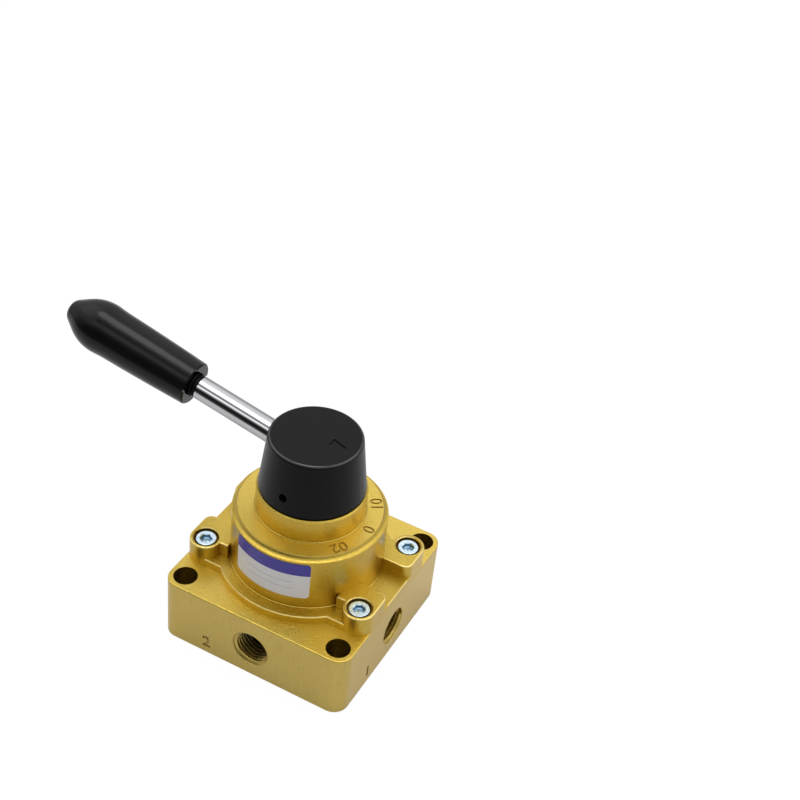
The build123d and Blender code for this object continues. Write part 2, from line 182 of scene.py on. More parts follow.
# %% Camera
CAMERA_PLACE = Vector((161.92, -309.19, 369.96)) * MM
CAMERA_AZIMUTH = 23.54
CAMERA_ELEVATION = 38.01
CAMERA_ROLL = 7.09
FIELD_OF_VIEW = 31.293


def turned(degrees, axis):
    """A turn about X, Y or Z."""
    return Matrix.Rotation(math.radians(degrees), 4, axis)


camera = bpy.data.objects.new("camera", bpy.data.cameras.new("camera"))
bpy.context.scene.collection.objects.link(camera)
aim = turned(CAMERA_AZIMUTH, "Z") @ turned(90 - CAMERA_ELEVATION, "X") @ turned(CAMERA_ROLL, "Z")
camera.matrix_world = Matrix.Translation(CAMERA_PLACE) @ aim
camera.data.sensor_width = 36
camera.data.angle = math.radians(FIELD_OF_VIEW)
camera.data.clip_start = 0.01
bpy.context.scene.camera = camera
print("lens", round(camera.data.lens, 2), "mm")

# %% [markdown]
# The studio is a white room with a few soft boxes: a small bright one straight overhead, broad ones
# to the right, to the left and low in front, and between the front ones a dark gap, where the
# photographer stands. Chrome and satin metal show all of them, so each is a soft spot of the sky,
# written as the direction of its middle, its width, how soft its rim is, and what it adds. The
# camera itself sees plain white.

# %% Sky with soft boxes
HORIZON_STRENGTH = 0.58
ZENITH_STRENGTH = 1.2
SKY_RISE = (0.1, 0.85)
DARKEST_GAP = 0.02
SOFT_BOXES = {
    "overhead": (157, 84, 9, 7, 4.0),
    "right": (32, 44, 14, 22, 0.8),
    "left": (172, 52, 12, 20, 0.6),
    "front": (-104, 46, 4, 7, 0.5),
    "front_top_gap": (-105, 61, 4, 7, -0.9),
    "front_gap": (-104, 8, 18, 18, -0.5),
    "camera_side": (-66, 8, 34, 18, -0.3),
    "front_gap_left": (-140, 8, 10, 16, -0.35),
}


def toward(azimuth, elevation):
    """The direction of an azimuth, counted from +X, and an elevation, both in degrees."""
    turn = math.radians(azimuth)
    lift = math.radians(elevation)
    return Vector((math.cos(turn) * math.cos(lift), math.sin(turn) * math.cos(lift), math.sin(lift)))


def white_sky():
    """White to the camera; to everything else a soft vault with the boxes in it."""
    world = bpy.data.worlds.new("white_sky")
    world.use_nodes = True
    ray = Wire(world.node_tree).add("ShaderNodeTexCoord", output="Generated")
    height = ray.axes()[2].ramp(*SKY_RISE)
    strength = height * (ZENITH_STRENGTH - HORIZON_STRENGTH) + HORIZON_STRENGTH
    for azimuth, elevation, half_width, rim, gain in SOFT_BOXES.values():
        outer = math.cos(math.radians(half_width + rim))
        inner = math.cos(math.radians(half_width))
        strength = ray.along(toward(azimuth, elevation)).ramp(outer, inner) * gain + strength
    strength = strength.maths("MAXIMUM", DARKEST_GAP)
    strength = strength.maths("MAXIMUM", ray.add("ShaderNodeLightPath"))
    background = world.node_tree.nodes["Background"]
    background.inputs["Color"].default_value = (1, 1, 1, 1)
    world.node_tree.links.new(strength.socket, background.inputs["Strength"])
    bpy.context.scene.world = world


bpy.context.scene.view_settings.view_transform = "Standard"
white_sky()
print("sky with", len(SOFT_BOXES), "soft spots")

# %% [markdown]
# The floor has to look pure white to the camera and yet keep the valve's shadow, so the camera sees
# a mix of the lit floor and a plain white glow. Metal mirrors a little of that glow too. Under the
# mounting holes there is none of it, or they would shine. In front the table ends soon, which gives
# mirrors their dark line, but to the camera it stays white.

# %% Floor
FLOOR_RADIUS = 4.0
GLOW_SEEN = 0.92
GLOW_MIRRORED = 0.26
GLOW_STRENGTH = 1.04
TABLE_EDGE = (0.15, 0.42)
TABLE_COLOUR = rgb(200, 200, 200)
BEYOND_COLOUR = rgb(60, 60, 60)
BLOCK_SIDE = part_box("valve_body")[1].x
MOUNT_PLACE = 29.3 * MM
MOUNT_R = 4.1 * MM
HOLE_MARGIN = 1.2


def length(*sides):
    """Distance from its parts at right angles."""
    return sum((side * side for side in sides[1:]), sides[0] * sides[0]) ** 0.5


def as_object(name, bm):
    """Puts a working mesh into a new object of the scene."""
    mesh = bpy.data.meshes.new(name)
    bm.to_mesh(mesh)
    bm.free()
    made = bpy.data.objects.new(name, mesh)
    bpy.context.scene.collection.objects.link(made)
    return made


def floor_paint():
    """Matt white that glows a little to the camera and to mirrors, but not under the holes."""
    paint = Finish("white_floor", roughness=0.9, specular_ior_level=0.1)
    beyond = paint.place.along(toward(-100, 0)).ramp(*TABLE_EDGE)
    paint.set(base_color=beyond.colours(TABLE_COLOUR, BEYOND_COLOUR))
    wire = Wire(paint.tree)
    rays = wire.add("ShaderNodeLightPath").socket.node.outputs
    seen = Wire(paint.tree, rays["Is Camera Ray"])
    mirrored = Wire(paint.tree, rays["Is Glossy Ray"]) + Wire(paint.tree, rays["Is Transmission Ray"])
    x, y, z = paint.place.axes()
    open_floor = length(abs(x) - MOUNT_PLACE, abs(y) - MOUNT_PLACE) > MOUNT_R * HOLE_MARGIN
    share = seen * (beyond * (1 - GLOW_SEEN) + GLOW_SEEN) + mirrored * GLOW_MIRRORED * (1 - beyond)
    share = share * open_floor
    glow = wire.add("ShaderNodeEmission", None, {"Color": (1, 1, 1, 1), "Strength": GLOW_STRENGTH})
    lit = Wire(paint.tree, paint.shader.outputs[0])
    mixed = wire.add("ShaderNodeMixShader", None, {0: share, 1: lit, 2: glow})
    paint.tree.links.new(mixed.socket, paint.tree.nodes["Material Output"].inputs["Surface"])
    return paint.material


disc = bmesh.new()
bmesh.ops.create_circle(disc, cap_ends=True, segments=64, radius=FLOOR_RADIUS)
floor = as_object("floor", disc)
floor.data.materials.append(floor_paint())
print("floor", FLOOR_RADIUS * 2, "m across")

# %% [markdown]
# Block and bonnet are blasted fine and dyed gold. The dye sits in a clear oxide skin on bare metal,
# so it is a metal with a strong colour, fairly rough, under a thin clear coat. Patterns of different
# size break it up: broad clouds in the dye, a fine even grain from the blasting, and here and there a
# pit that the casting left. The block was drawn through a die, so it is paler with upright streaks.
# Painted light brightens the tops, a painted highlight lines the cast edges, painted shade darkens the
# ports inside their mouths, and the floors of the marks are darker. Each of these is a mask, which is 1
# in its own place and is worked out from the height and the distance.

# %% Gold casting
DYE_LIGHT = (0.575, 0.415, 0.058, 1)
DYE_DEEP = (0.445, 0.295, 0.026, 1)
PIT_COLOUR = (0.16, 0.09, 0.015, 1)
# a darker colour for the floors of the engraved marks
MARK_FLOOR_DARK = (0.20, 0.13, 0.025, 1)
# painted shade deep inside the ports
BORE_PAINTED_SHADE = (0.090, 0.070, 0.045, 1)
DRAWN_SIDE = (0.52, 0.40, 0.120, 1)
# painted light on the upward tops
TOP_PAINTED_LIGHT = (0.70, 0.51, 0.090, 1)
# painted highlight along the upper cast edges
EDGE_PAINTED_HIGHLIGHT = (0.92, 0.74, 0.27, 1)
GOLD_ROUGHNESS = 0.31
CLOUD_SIZE = 14 * MM
BLAST_SIZE = 0.9 * MM
GRAIN_SIZE = 0.4 * MM
GRAIN_DEPTH = 0.18 * MM
STREAK_SIZE = 0.5 * MM
STREAK_STRETCH = (1, 1, 0.04)
STREAK_SHARE = 2.0
PIT_SPACING = 1.6 * MM
PIT_SIZE = 0.22 * MM
PIT_SHARE = 0.5
MARK_FLOOR_SHARE = 0.65
DRAWN_SHARE = 0.6
TOP_LIGHT_SHARE = 0.7
EDGE_HIGHLIGHT_SHARE = 0.75
HAIR = 0.01 * MM
PORT_Z = 12 * MM
PORT_MOUTH_R = 6.88 * MM
BLOCK_H = 25 * MM
SHOULDER_Z = 50 * MM
FLANGE_TOP_Z = 28 * MM
EAR_TOP_Z = 33.1 * MM
EDGE_WIDTH = 0.45 * MM
DOME_R = 26 * MM
SCREW_X = 29.5 * MM
SCREW_Y = 17.05 * MM
EAR_R = 5.5 * MM
EAR_INNER_Y = 7 * MM
DIAL_BAND = (19.6 * MM, 24.0 * MM)
SIDE_BAND = (2 * MM, 22 * MM)
SIDE_REACH = (8 * MM, 26 * MM)
BORE_FADE = (1.2 * MM, 11.0 * MM)
MARK_DEPTH = 0.3 * MM


def between(value, low, high):
    """1 where a value lies between two numbers."""
    return (value > low) * (value < high)


def darker_mark_floors(place):
    """1 on the floors of the engraved marks, on the block's sides and on the bonnet's shoulder."""
    x, y, z = place.axes()
    outer = abs(x).maths("MAXIMUM", abs(y))
    inner = abs(x).maths("MINIMUM", abs(y))
    side_marks = between(outer, BLOCK_SIDE - 2 * MARK_DEPTH, BLOCK_SIDE - MARK_DEPTH / 2)
    side_marks = side_marks * between(z, *SIDE_BAND) * between(inner, *SIDE_REACH)
    dial_marks = between(z, SHOULDER_Z - 2 * MARK_DEPTH, SHOULDER_Z - MARK_DEPTH / 2)
    return side_marks + dial_marks * between(length(x, y), *DIAL_BAND)


def painted_bore_shade(place):
    """Painted shade in the ports: rises from 0 at the mouth of a port to 1 a few millimetres inside."""
    x, y, z = place.axes()
    outer = abs(x).maths("MAXIMUM", abs(y))
    inner = abs(x).maths("MINIMUM", abs(y))
    in_port = length(inner, z - PORT_Z) < PORT_MOUTH_R
    return (BLOCK_SIDE - outer).ramp(*BORE_FADE) * in_port


def on_painted_lit_tops(place):
    """1 on the block's top and on the bonnet's shoulder, which get painted light to look brighter."""
    z = place.axes()[2]
    block = z.ramp(BLOCK_H - 0.4 * MM, BLOCK_H) * (z < BLOCK_H + 2 * HAIR)
    shoulder = z.ramp(SHOULDER_Z - MM, SHOULDER_Z) * (z < SHOULDER_Z + 2 * HAIR)
    return shoulder + block


def on_painted_edge_highlights(place):
    """1 along the upper edges of the bonnet's flange and ears, where a painted highlight goes."""
    x, y, z = place.axes()
    flange = between(z, FLANGE_TOP_Z - EDGE_WIDTH, FLANGE_TOP_Z - HAIR)
    beside_ears = length(abs(x) - SCREW_X, abs(y) - SCREW_Y) > EAR_R + 0.1 * MM
    flange = flange * beside_ears * (1 - (abs(x) > SCREW_X) * (abs(y) > EAR_INNER_Y))
    ears = between(z, EAR_TOP_Z - EDGE_WIDTH, EAR_TOP_Z - HAIR)
    return (flange + ears) * (length(x, y) > DOME_R + EDGE_WIDTH)


def casting_pits(place):
    """1 in small round pits, one near the middle of each cell of a random pattern."""
    cells = {"Vector": place, "Scale": 1 / PIT_SPACING}
    nearest = place.add("ShaderNodeTexVoronoi", None, cells)
    return 1 - nearest.ramp(PIT_SIZE / PIT_SPACING * 0.5, PIT_SIZE / PIT_SPACING)


def drawn_streaks(place):
    """Upright streaks, from -0.5 to 0.5: a grain that is drawn out along Z."""
    drawn_out = {"Vector": place, "Scale": STREAK_STRETCH}
    stretched = place.add("ShaderNodeMapping", None, drawn_out)
    return stretched.noise(STREAK_SIZE, detail=3, roughness=0.6) - 0.5


def gold_casting():
    gold = Finish("gold_casting", metallic=1.0, specular_tint=(1.0, 0.83, 0.5, 1))
    gold.set(coat_weight=0.9, coat_roughness=0.24, coat_ior=1.36)
    clouds = gold.place.noise(CLOUD_SIZE, detail=3)
    blast = gold.place.noise(BLAST_SIZE, detail=2, roughness=0.6)
    grain = gold.place.noise(GRAIN_SIZE, detail=2, roughness=0.6)
    pits = casting_pits(gold.place)
    tone = clouds.ramp(0.3, 0.7) * 0.4 + grain.ramp(0.3, 0.7) * 0.35 + blast.ramp(0.3, 0.7) * 0.35
    drawn = gold.place.axes()[2] < BLOCK_H - 0.5 * MM
    tone = tone + drawn * drawn_streaks(gold.place) * STREAK_SHARE
    colour = tone.colours(DYE_DEEP, DYE_LIGHT)
    colour = (drawn * DRAWN_SHARE).colours(colour, DRAWN_SIDE)
    # painted light: the block's top and the bonnet's shoulder are made brighter
    colour = (on_painted_lit_tops(gold.place) * TOP_LIGHT_SHARE).colours(colour, TOP_PAINTED_LIGHT)
    # painted highlight along the upper edges of the flange and the ears
    colour = (on_painted_edge_highlights(gold.place) * EDGE_HIGHLIGHT_SHARE).colours(colour, EDGE_PAINTED_HIGHLIGHT)
    colour = (pits * PIT_SHARE).colours(colour, PIT_COLOUR)
    # the floors of the engraved marks are darker
    colour = (darker_mark_floors(gold.place) * MARK_FLOOR_SHARE).colours(colour, MARK_FLOOR_DARK)
    # painted shade: the ports darken a few millimetres inside their mouths
    colour = painted_bore_shade(gold.place).colours(colour, BORE_PAINTED_SHADE)
    gold.set(base_color=colour, roughness=grain * 0.16 + (GOLD_ROUGHNESS - 0.1) + clouds * 0.06)
    gold.relief(blast * 0.7 + grain - pits, GRAIN_DEPTH, 0.6)
    return gold.material


finishes = {"gold_casting": gold_casting()}
print("finishes", list(finishes))

# %% [markdown]
# New pieces all end the same way: a working mesh becomes an object at the origin, rides on its body
# and takes its finish. Sharp edges are marked by angle, so round faces shade smoothly and corners
# stay crisp.

# %% From working mesh to piece
SHARP_ANGLE = math.radians(28)


def mark_sharp(bm):
    """Smooth shading everywhere but across edges sharper than the limit."""
    for face in bm.faces:
        face.smooth = True
    for edge in bm.edges:
        edge.smooth = len(edge.link_faces) == 2 and edge.calc_face_angle(math.pi) < SHARP_ANGLE


def keep_flats_flat(piece):
    """Lets large faces rule the shading, so a flat beside a small round doesn't look dented."""
    weighted = piece.modifiers.new("flat_faces", "WEIGHTED_NORMAL")
    weighted.mode = "FACE_AREA"
    weighted.keep_sharp = True


def add_piece(name, bm, body, slot):
    """Turns a working mesh into a piece that rides on a body and has a slot's finish."""
    mark_sharp(bm)
    piece = as_object(name, bm)
    piece.data.materials.append(finishes[slot])
    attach(piece, body)
    keep_flats_flat(piece)
    print(name, len(piece.data.polygons), "faces")
    return piece


print("edges sharper than", round(math.degrees(SHARP_ANGLE)), "degrees stay crisp")

# %% [markdown]
# The positions of the lever are engraved numbers on the bonnet's shoulder, and each port has its
# number beside it on the block. An engraving is a cut, so each number is made as a solid text,
# scaled to its real height, laid on its face and taken out of a welded copy of the casting. The
# copy then stands in for the plain casting.

# %% Engraving tool
def text_solid(words, height, weight):
    """A solid of upright text, centred, its face in the XY plane and its body above and below it."""
    curve = bpy.data.curves.new("words", "FONT")
    curve.body = words
    curve.align_x = "CENTER"
    curve.align_y = "CENTER"
    curve.extrude = 0.5
    curve.offset = weight
    curve.resolution_u = 4
    holder = bpy.data.objects.new("words", curve)
    bm = bmesh.new()
    bm.from_mesh(holder.to_mesh())
    bmesh.ops.remove_doubles(bm, verts=bm.verts, dist=1e-5)
    low = Vector([min(v.co[axis] for v in bm.verts) for axis in range(3)])
    high = Vector([max(v.co[axis] for v in bm.verts) for axis in range(3)])
    scale = height / (high.y - low.y)
    bmesh.ops.translate(bm, verts=bm.verts, vec=-(low + high) / 2)
    bmesh.ops.scale(bm, verts=bm.verts, vec=(scale, scale, 1))
    holder.to_mesh_clear()
    bpy.data.objects.remove(holder)
    return bm


def marks_cutter(marks, depth):
    """All marks of one casting, each laid on its face, in one working mesh."""
    cutter = bmesh.new()
    for words, height, weight, place in marks:
        letters = text_solid(words, height, weight)
        bmesh.ops.scale(letters, verts=letters.verts, vec=(1, 1, 2 * depth))
        letters.transform(place)
        mesh = bpy.data.meshes.new("mark")
        letters.to_mesh(mesh)
        letters.free()
        cutter.from_mesh(mesh)
        bpy.data.meshes.remove(mesh)
    bmesh.ops.recalc_face_normals(cutter, faces=cutter.faces)
    return cutter


def welded_copy(node):
    """A copy of a node's mesh in which corners that touch are one."""
    bm = bmesh.new()
    bm.from_mesh(frame["nodes"][node].data)
    bmesh.ops.remove_doubles(bm, verts=bm.verts, dist=1e-6)
    return bm


def engrave(node, marks, depth):
    """Cuts marks, as (words, height, weight, place), into a copy of a node, depth metres deep."""
    cutter = as_object("cutter", marks_cutter(marks, depth))
    blank = as_object("blank", welded_copy(node))
    cut = blank.modifiers.new("cut", "BOOLEAN")
    cut.operation = "DIFFERENCE"
    cut.solver = "EXACT"
    cut.use_self = True
    cut.object = cutter
    bpy.context.view_layer.update()
    carved = bmesh.new()
    carved.from_object(blank, bpy.context.evaluated_depsgraph_get())
    for spare in (blank, cutter):
        bpy.data.objects.remove(spare)
    return carved


print("marks are cut", round(MARK_DEPTH / MM, 2), "mm deep")

# %% Engraved castings
PORT_NUMBERS = "2143"
PORT_NUMBER_PLACE = Vector((-16.9, 5.7, 0)) * MM
PORT_NUMBER_HEIGHT = 4.8 * MM
PORT_NUMBER_WEIGHT = 0.03
DIAL_RADIUS = 21.9 * MM
DIAL_HEIGHT = 4.2 * MM
DIAL_WEIGHT = 0.015
DIAL_MARKS = {"01": 35.0, "0": 0.0, "02": -35.0}


def port_marks():
    """The number of each port, upright on its side of the block."""
    for side, number in enumerate(PORT_NUMBERS):
        face = turned(90 * side, "Z") @ Matrix.Translation((0, -BLOCK_SIDE, 0))
        upright = face @ turned(90, "X") @ Matrix.Translation(PORT_NUMBER_PLACE)
        yield number, PORT_NUMBER_HEIGHT, PORT_NUMBER_WEIGHT, upright


def dial_marks():
    """The marks of the three positions, round the shoulder, their feet towards the rim."""
    for words, angle in DIAL_MARKS.items():
        place = turned(angle, "Z") @ Matrix.Translation((DIAL_RADIUS, 0, SHOULDER_Z))
        yield words, DIAL_HEIGHT, DIAL_WEIGHT, place @ turned(-90, "Z")


for node, marks in (("valve_body", port_marks()), ("bonnet", dial_marks())):
    casting = add_piece(node + "_engraved", engrave(node, marks, MARK_DEPTH), "housing", "gold_casting")
    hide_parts(node)

# %% [markdown]
# The four side ports are tapped. In the construction a port is a smooth bore at the thread's widest,
# so the thread is added as a ridge that winds along the wall: one small section, spun round the
# port's axis while it moves inwards by one pitch a turn.

# %% Port threads
THREAD_PITCH = 1.337 * MM
THREAD_ROOT_R = 6.70 * MM
THREAD_CREST_R = 5.75 * MM
THREAD_START = 0.1 * MM
THREAD_TURNS = 8
STEPS_PER_TURN = 48


def spun_ridge(root_r, crest_r, pitch, turns):
    """A ridge of trapezium section that winds along +Z, its first foot at height 0."""
    bm = bmesh.new()
    outline = [(root_r, 0.01), (crest_r, 0.41), (crest_r, 0.59), (root_r, 0.99)]
    section = bm.faces.new([bm.verts.new((r, 0, share * pitch)) for r, share in outline])
    rise = (0, 0, pitch / STEPS_PER_TURN)
    steps = round(STEPS_PER_TURN * turns)
    bmesh.ops.spin(bm, geom=[section], cent=(0, 0, 0), axis=(0, 0, 1), dvec=rise,
                   angle=math.tau * turns, steps=steps, use_merge=False)
    bmesh.ops.recalc_face_normals(bm, faces=bm.faces)
    return bm


def port_thread(side):
    """A right-hand ridge on the wall of one side port, cut away by the chamfer of its mouth."""
    bm = spun_ridge(THREAD_ROOT_R, THREAD_CREST_R, THREAD_PITCH, THREAD_TURNS)
    for point in bm.verts:
        radius = max(point.co.xy.length, PORT_MOUTH_R - point.co.z)
        point.co.xy = point.co.xy.normalized() * radius
    inwards = Matrix.Translation((0, -BLOCK_SIDE + THREAD_START, PORT_Z)) @ turned(-90, "X")
    bm.transform(turned(90 * side, "Z") @ inwards)
    return bm


for side, name in enumerate(("front", "right", "back", "left")):
    add_piece("port_thread_" + name, port_thread(side), "housing", "gold_casting")

# %% [markdown]
# The bonnet is held by four zinc plated M4 socket screws. The construction has them as plain heads
# with a hexagon, so each is made again with the knurled rim, the rolled edge and the bevel round the
# socket that catch the light. The screw is grown ring by ring from its point up to its socket: each
# ring is the last one's edges extruded, then set to a new radius and height. The plate is a pale blue
# metal. The walls of the socket get painted shade, a darker colour, and are glossier than its mouth and
# its bottom.

# %% Zinc plate
HEAD_TOP_Z = 32.5 * MM
SOCKET_FLAT = 1.5 * MM
SOCKET_MOUTH_R = 2.2 * MM
SOCKET_SHADE_BEGINS = (0.03 * MM, 0.45 * MM)
SOCKET_SHADE_ENDS = (1.15 * MM, 1.5 * MM)
ZINC_DULL = (0.52, 0.67, 0.82, 1)
ZINC_BRIGHT = (0.70, 0.82, 0.90, 1)
# painted shade for the walls of the socket
ZINC_PAINTED_SHADE = (0.11, 0.23, 0.33, 1)


def zinc_plate():
    zinc = Finish("zinc_plate", metallic=1.0)
    clouds = zinc.place.noise(1.2 * MM, detail=3)
    scuffs = zinc.place.noise(0.2 * MM, detail=3, roughness=0.7)
    x, y, z = zinc.place.axes()
    depth = HEAD_TOP_Z - z
    # painted shade on the socket walls, which are also made glossier
    socket_shade = depth.ramp(*SOCKET_SHADE_BEGINS) * (1 - depth.ramp(*SOCKET_SHADE_ENDS))
    socket_shade = socket_shade * (length(abs(x) - SCREW_X, abs(y) - SCREW_Y) < SOCKET_MOUTH_R)
    colour = clouds.ramp(0.35, 0.65).colours(ZINC_DULL, ZINC_BRIGHT)
    zinc.set(base_color=socket_shade.colours(colour, ZINC_PAINTED_SHADE), roughness=scuffs * 0.25 + 0.26 - socket_shade * 0.22)
    zinc.relief(scuffs, 0.006 * MM, 0.5)
    return zinc.material


finishes["zinc_screw"] = zinc_plate()
print("socket", round(SOCKET_FLAT * 2 / MM, 2), "mm across its flats")

# %% Socket screws
HEAD_R = 3.5 * MM
HEAD_SEAT_Z = 28.5 * MM
SHANK_R = 2.0 * MM
SHANK_END_Z = 12.5 * MM
SOCKET_DEPTH = 1.7 * MM
KNURL_DEPTH = 0.08 * MM
RIM_STEPS = 96


def grow_ring(bm, ring, radius, z):
    """Extrudes a ring's edges and sets the new ring's points to radius(angle) at height z."""
    grown = bmesh.ops.extrude_edge_only(bm, edges=ring)["geom"]
    points = {item for item in grown if isinstance(item, bmesh.types.BMVert)}
    for point in points:
        angle = math.atan2(point.co.y, point.co.x)
        point.co = Vector((math.cos(angle), math.sin(angle), 0)) * radius(angle) + Vector((0, 0, z))
    edges = [item for item in grown if isinstance(item, bmesh.types.BMEdge)]
    return [edge for edge in edges if points.issuperset(edge.verts)]


def hexagon(flat):
    """Radius of a hexagon's outline at an angle, from its half width across the flats."""
    return lambda angle: flat / math.cos((angle + math.pi / 6) % (math.pi / 3) - math.pi / 6)


def circle(radius):
    """The same radius at every angle."""
    return lambda angle: radius


def knurl(angle):
    """The head's radius at an angle, every second step a little less."""
    tooth = round((angle % math.tau) / math.tau * RIM_STEPS)
    return HEAD_R - KNURL_DEPTH * (tooth % 2)


def socket_screw(x, y):
    """One screw, whole and closed, with its axis at x and y."""
    bm = bmesh.new()
    bmesh.ops.create_circle(bm, cap_ends=True, segments=RIM_STEPS, radius=SHANK_R - 0.4 * MM)
    bmesh.ops.translate(bm, verts=bm.verts, vec=(0, 0, SHANK_END_Z))
    ring = list(bm.edges)
    rings = [
        (circle(SHANK_R), SHANK_END_Z + 0.4 * MM),
        (circle(SHANK_R), HEAD_SEAT_Z),
        (circle(HEAD_R - 0.25 * MM), HEAD_SEAT_Z),
        (knurl, HEAD_SEAT_Z + 0.15 * MM),
        (knurl, HEAD_TOP_Z - 0.3 * MM),
        (circle(HEAD_R - 0.09 * MM), HEAD_TOP_Z - 0.09 * MM),
        (circle(HEAD_R - 0.25 * MM), HEAD_TOP_Z),
        (circle(SOCKET_MOUTH_R), HEAD_TOP_Z - 0.001 * MM),
        (hexagon(SOCKET_FLAT * 1.1), HEAD_TOP_Z - 0.4 * MM),
        (hexagon(SOCKET_FLAT), HEAD_TOP_Z - 0.8 * MM),
        (hexagon(SOCKET_FLAT), HEAD_TOP_Z - SOCKET_DEPTH),
    ]
    for radius, z in rings:
        ring = grow_ring(bm, ring, radius, z)
    bottom = bmesh.ops.contextual_create(bm, geom=ring)["faces"]
    bmesh.ops.poke(bm, faces=bottom, offset=-0.5 * MM)
    bmesh.ops.recalc_face_normals(bm, faces=bm.faces)
    bmesh.ops.translate(bm, verts=bm.verts, vec=(x, y, 0))
    return bm


SCREW_PLACES = [(SCREW_X, SCREW_Y), (-SCREW_X, SCREW_Y), (-SCREW_X, -SCREW_Y), (SCREW_X, -SCREW_Y)]
for number, (x, y) in enumerate(SCREW_PLACES, 1):
    screw = add_piece(f"socket_screw_{number}", socket_screw(x, y), "housing", "zinc_screw")
    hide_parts(f"bonnet_screw_{number}")

# %% [markdown]
# The hub is a casting with thick satin black paint, which flows into a very fine orange peel. The
# grip is a moulding, smoother and a little glossier. Black paint and black plastic differ mostly in
# how sharp their highlights are, so both are nearly black and each gets its own gloss and relief.

# %% Black paint and black plastic
HUB_TOP_Z = 79.5 * MM
HUB_TOP_R = 15.45 * MM
RIM_HEIGHT = 0.45 * MM
RIM_WIDTH = 1.2 * MM


def black_paint():
    """Satin black that turns glossy along the rounded rim of the hub's top."""
    paint = Finish("black_paint", specular_ior_level=0.12, coat_roughness=0.06)
    x, y, z = paint.place.axes()
    rim = between(z, HUB_TOP_Z - RIM_HEIGHT, HUB_TOP_Z - HAIR)
    rim = rim * (length(x, y) > HUB_TOP_R - RIM_WIDTH)
    peel = paint.place.noise(1.1 * MM, detail=2)
    grain = paint.place.noise(0.18 * MM, detail=2)
    paint.set(base_color=peel.colours((0.0030, 0.0030, 0.0034, 1), (0.0055, 0.0055, 0.0060, 1)))
    paint.set(roughness=grain * 0.14 + 0.26, coat_weight=rim * 0.9)
    paint.relief(peel + grain * 0.5, 0.012 * MM, 0.6)
    return paint.material


def grip_plastic():
    plastic = Finish("grip_plastic", specular_ior_level=0.19)
    clouds = plastic.place.noise(9 * MM, detail=2)
    grain = plastic.place.noise(0.25 * MM, detail=2)
    plastic.set(base_color=clouds.colours((0.0035, 0.0035, 0.0040, 1), (0.0060, 0.0060, 0.0066, 1)))
    plastic.set(roughness=grain * 0.08 + 0.15)
    plastic.relief(grain, 0.008 * MM, 0.5)
    return plastic.material


finishes["black_hub"] = black_paint()
finishes["grip_plastic"] = grip_plastic()
print("finishes", list(finishes))

# %% [markdown]
# The rod is chrome plated: almost a mirror, with hairline polishing marks along it. Past the
# shoulder that the grip is screwed against, the plating ends and the steel is dark and oily. The
# label is a printed foil with a violet band above a pale field, ruled but with no words. Its bands
# follow the height above the block, so they stay level round the dome.

# %% Chrome and foil
LEVER_ORIGIN = Vector((0, 0, 70.2)) * MM
LEVER_RISE = 11.4
LEVER_AXIS = toward(180, LEVER_RISE)
PLATING_END = 45.0 * MM
HAIRLINE_STRETCH = (25, 1, 1)
HAIRLINE_WIDTH = 0.3 * MM
LABEL_LOW, LABEL_HIGH = (corner.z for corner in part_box("name_label"))
BAND_SHARE = 0.33
RULE_SHARES = (0.26, 0.45)
RULE_WIDTH = 0.16 * MM
RULE_HALF_LENGTH = 8.5 * MM


def rod_hairlines(place):
    """Fine lines along the rod: a grain that is turned to the lever's slope and drawn out."""
    slope = (0, math.radians(LEVER_RISE), 0)
    along_rod = {"Vector": place, "Rotation": slope, "Scale": HAIRLINE_STRETCH}
    stretched = place.add("ShaderNodeMapping", {"vector_type": "TEXTURE"}, along_rod)
    return stretched.noise(HAIRLINE_WIDTH, detail=3, roughness=0.65)


def chrome_plate():
    chrome = Finish("chrome_plate", metallic=1.0, specular_tint=(0.6, 0.6, 0.62, 1))
    haze = chrome.place.noise(2.5 * MM, detail=4)
    hairlines = rod_hairlines(chrome.place)
    bare = chrome.place.along(LEVER_AXIS) > LEVER_ORIGIN.dot(LEVER_AXIS) + PLATING_END
    plated = hairlines.ramp(0.3, 0.7).colours((0.48, 0.485, 0.50, 1), (0.57, 0.575, 0.595, 1))
    chrome.set(base_color=bare.colours(plated, (0.012, 0.012, 0.013, 1)))
    chrome.set(roughness=haze * 0.05 + hairlines * 0.05 + 0.02 + bare * 0.4)
    chrome.relief(hairlines, 0.002 * MM, 0.4)
    return chrome.material


def label_foil():
    """A violet band over a pale ruled field, both by height, so they stay level round the dome."""
    foil = Finish("label_foil", specular_ior_level=0.35, coat_weight=0.1, coat_roughness=0.15)
    x, y, z = foil.place.axes()
    share = (z - LABEL_LOW) / (LABEL_HIGH - LABEL_LOW)
    mottle = foil.place.noise(3 * MM, detail=3)
    colour = mottle.colours((0.63, 0.62, 0.64, 1), (0.71, 0.70, 0.71, 1))
    for rule in RULE_SHARES:
        line = abs(share - rule) < RULE_WIDTH / (LABEL_HIGH - LABEL_LOW) / 2
        line = line * (abs(x) < RULE_HALF_LENGTH)
        colour = (line * 0.7).colours(colour, (0.12, 0.11, 0.2, 1))
    band = share > 1 - BAND_SHARE
    violet = mottle.colours((0.036, 0.026, 0.27, 1), (0.050, 0.038, 0.33, 1))
    foil.set(base_color=band.colours(colour, violet), roughness=mottle * 0.1 + 0.3)
    foil.relief(mottle, 0.01 * MM, 0.3)
    return foil.material


finishes["chrome_rod"] = chrome_plate()
finishes["label_foil"] = label_foil()
print("label", round((LABEL_HIGH - LABEL_LOW) / MM, 2), "mm high")

# %% [markdown]
# A mirror shows every facet, so the rod is made again, much finer than the construction's: its
# half outline is spun round the lever's axis. Between its shoulder and the bottom of the grip's
# mouth the thread shows, the same wound ridge as in the ports, only with its crest outside.

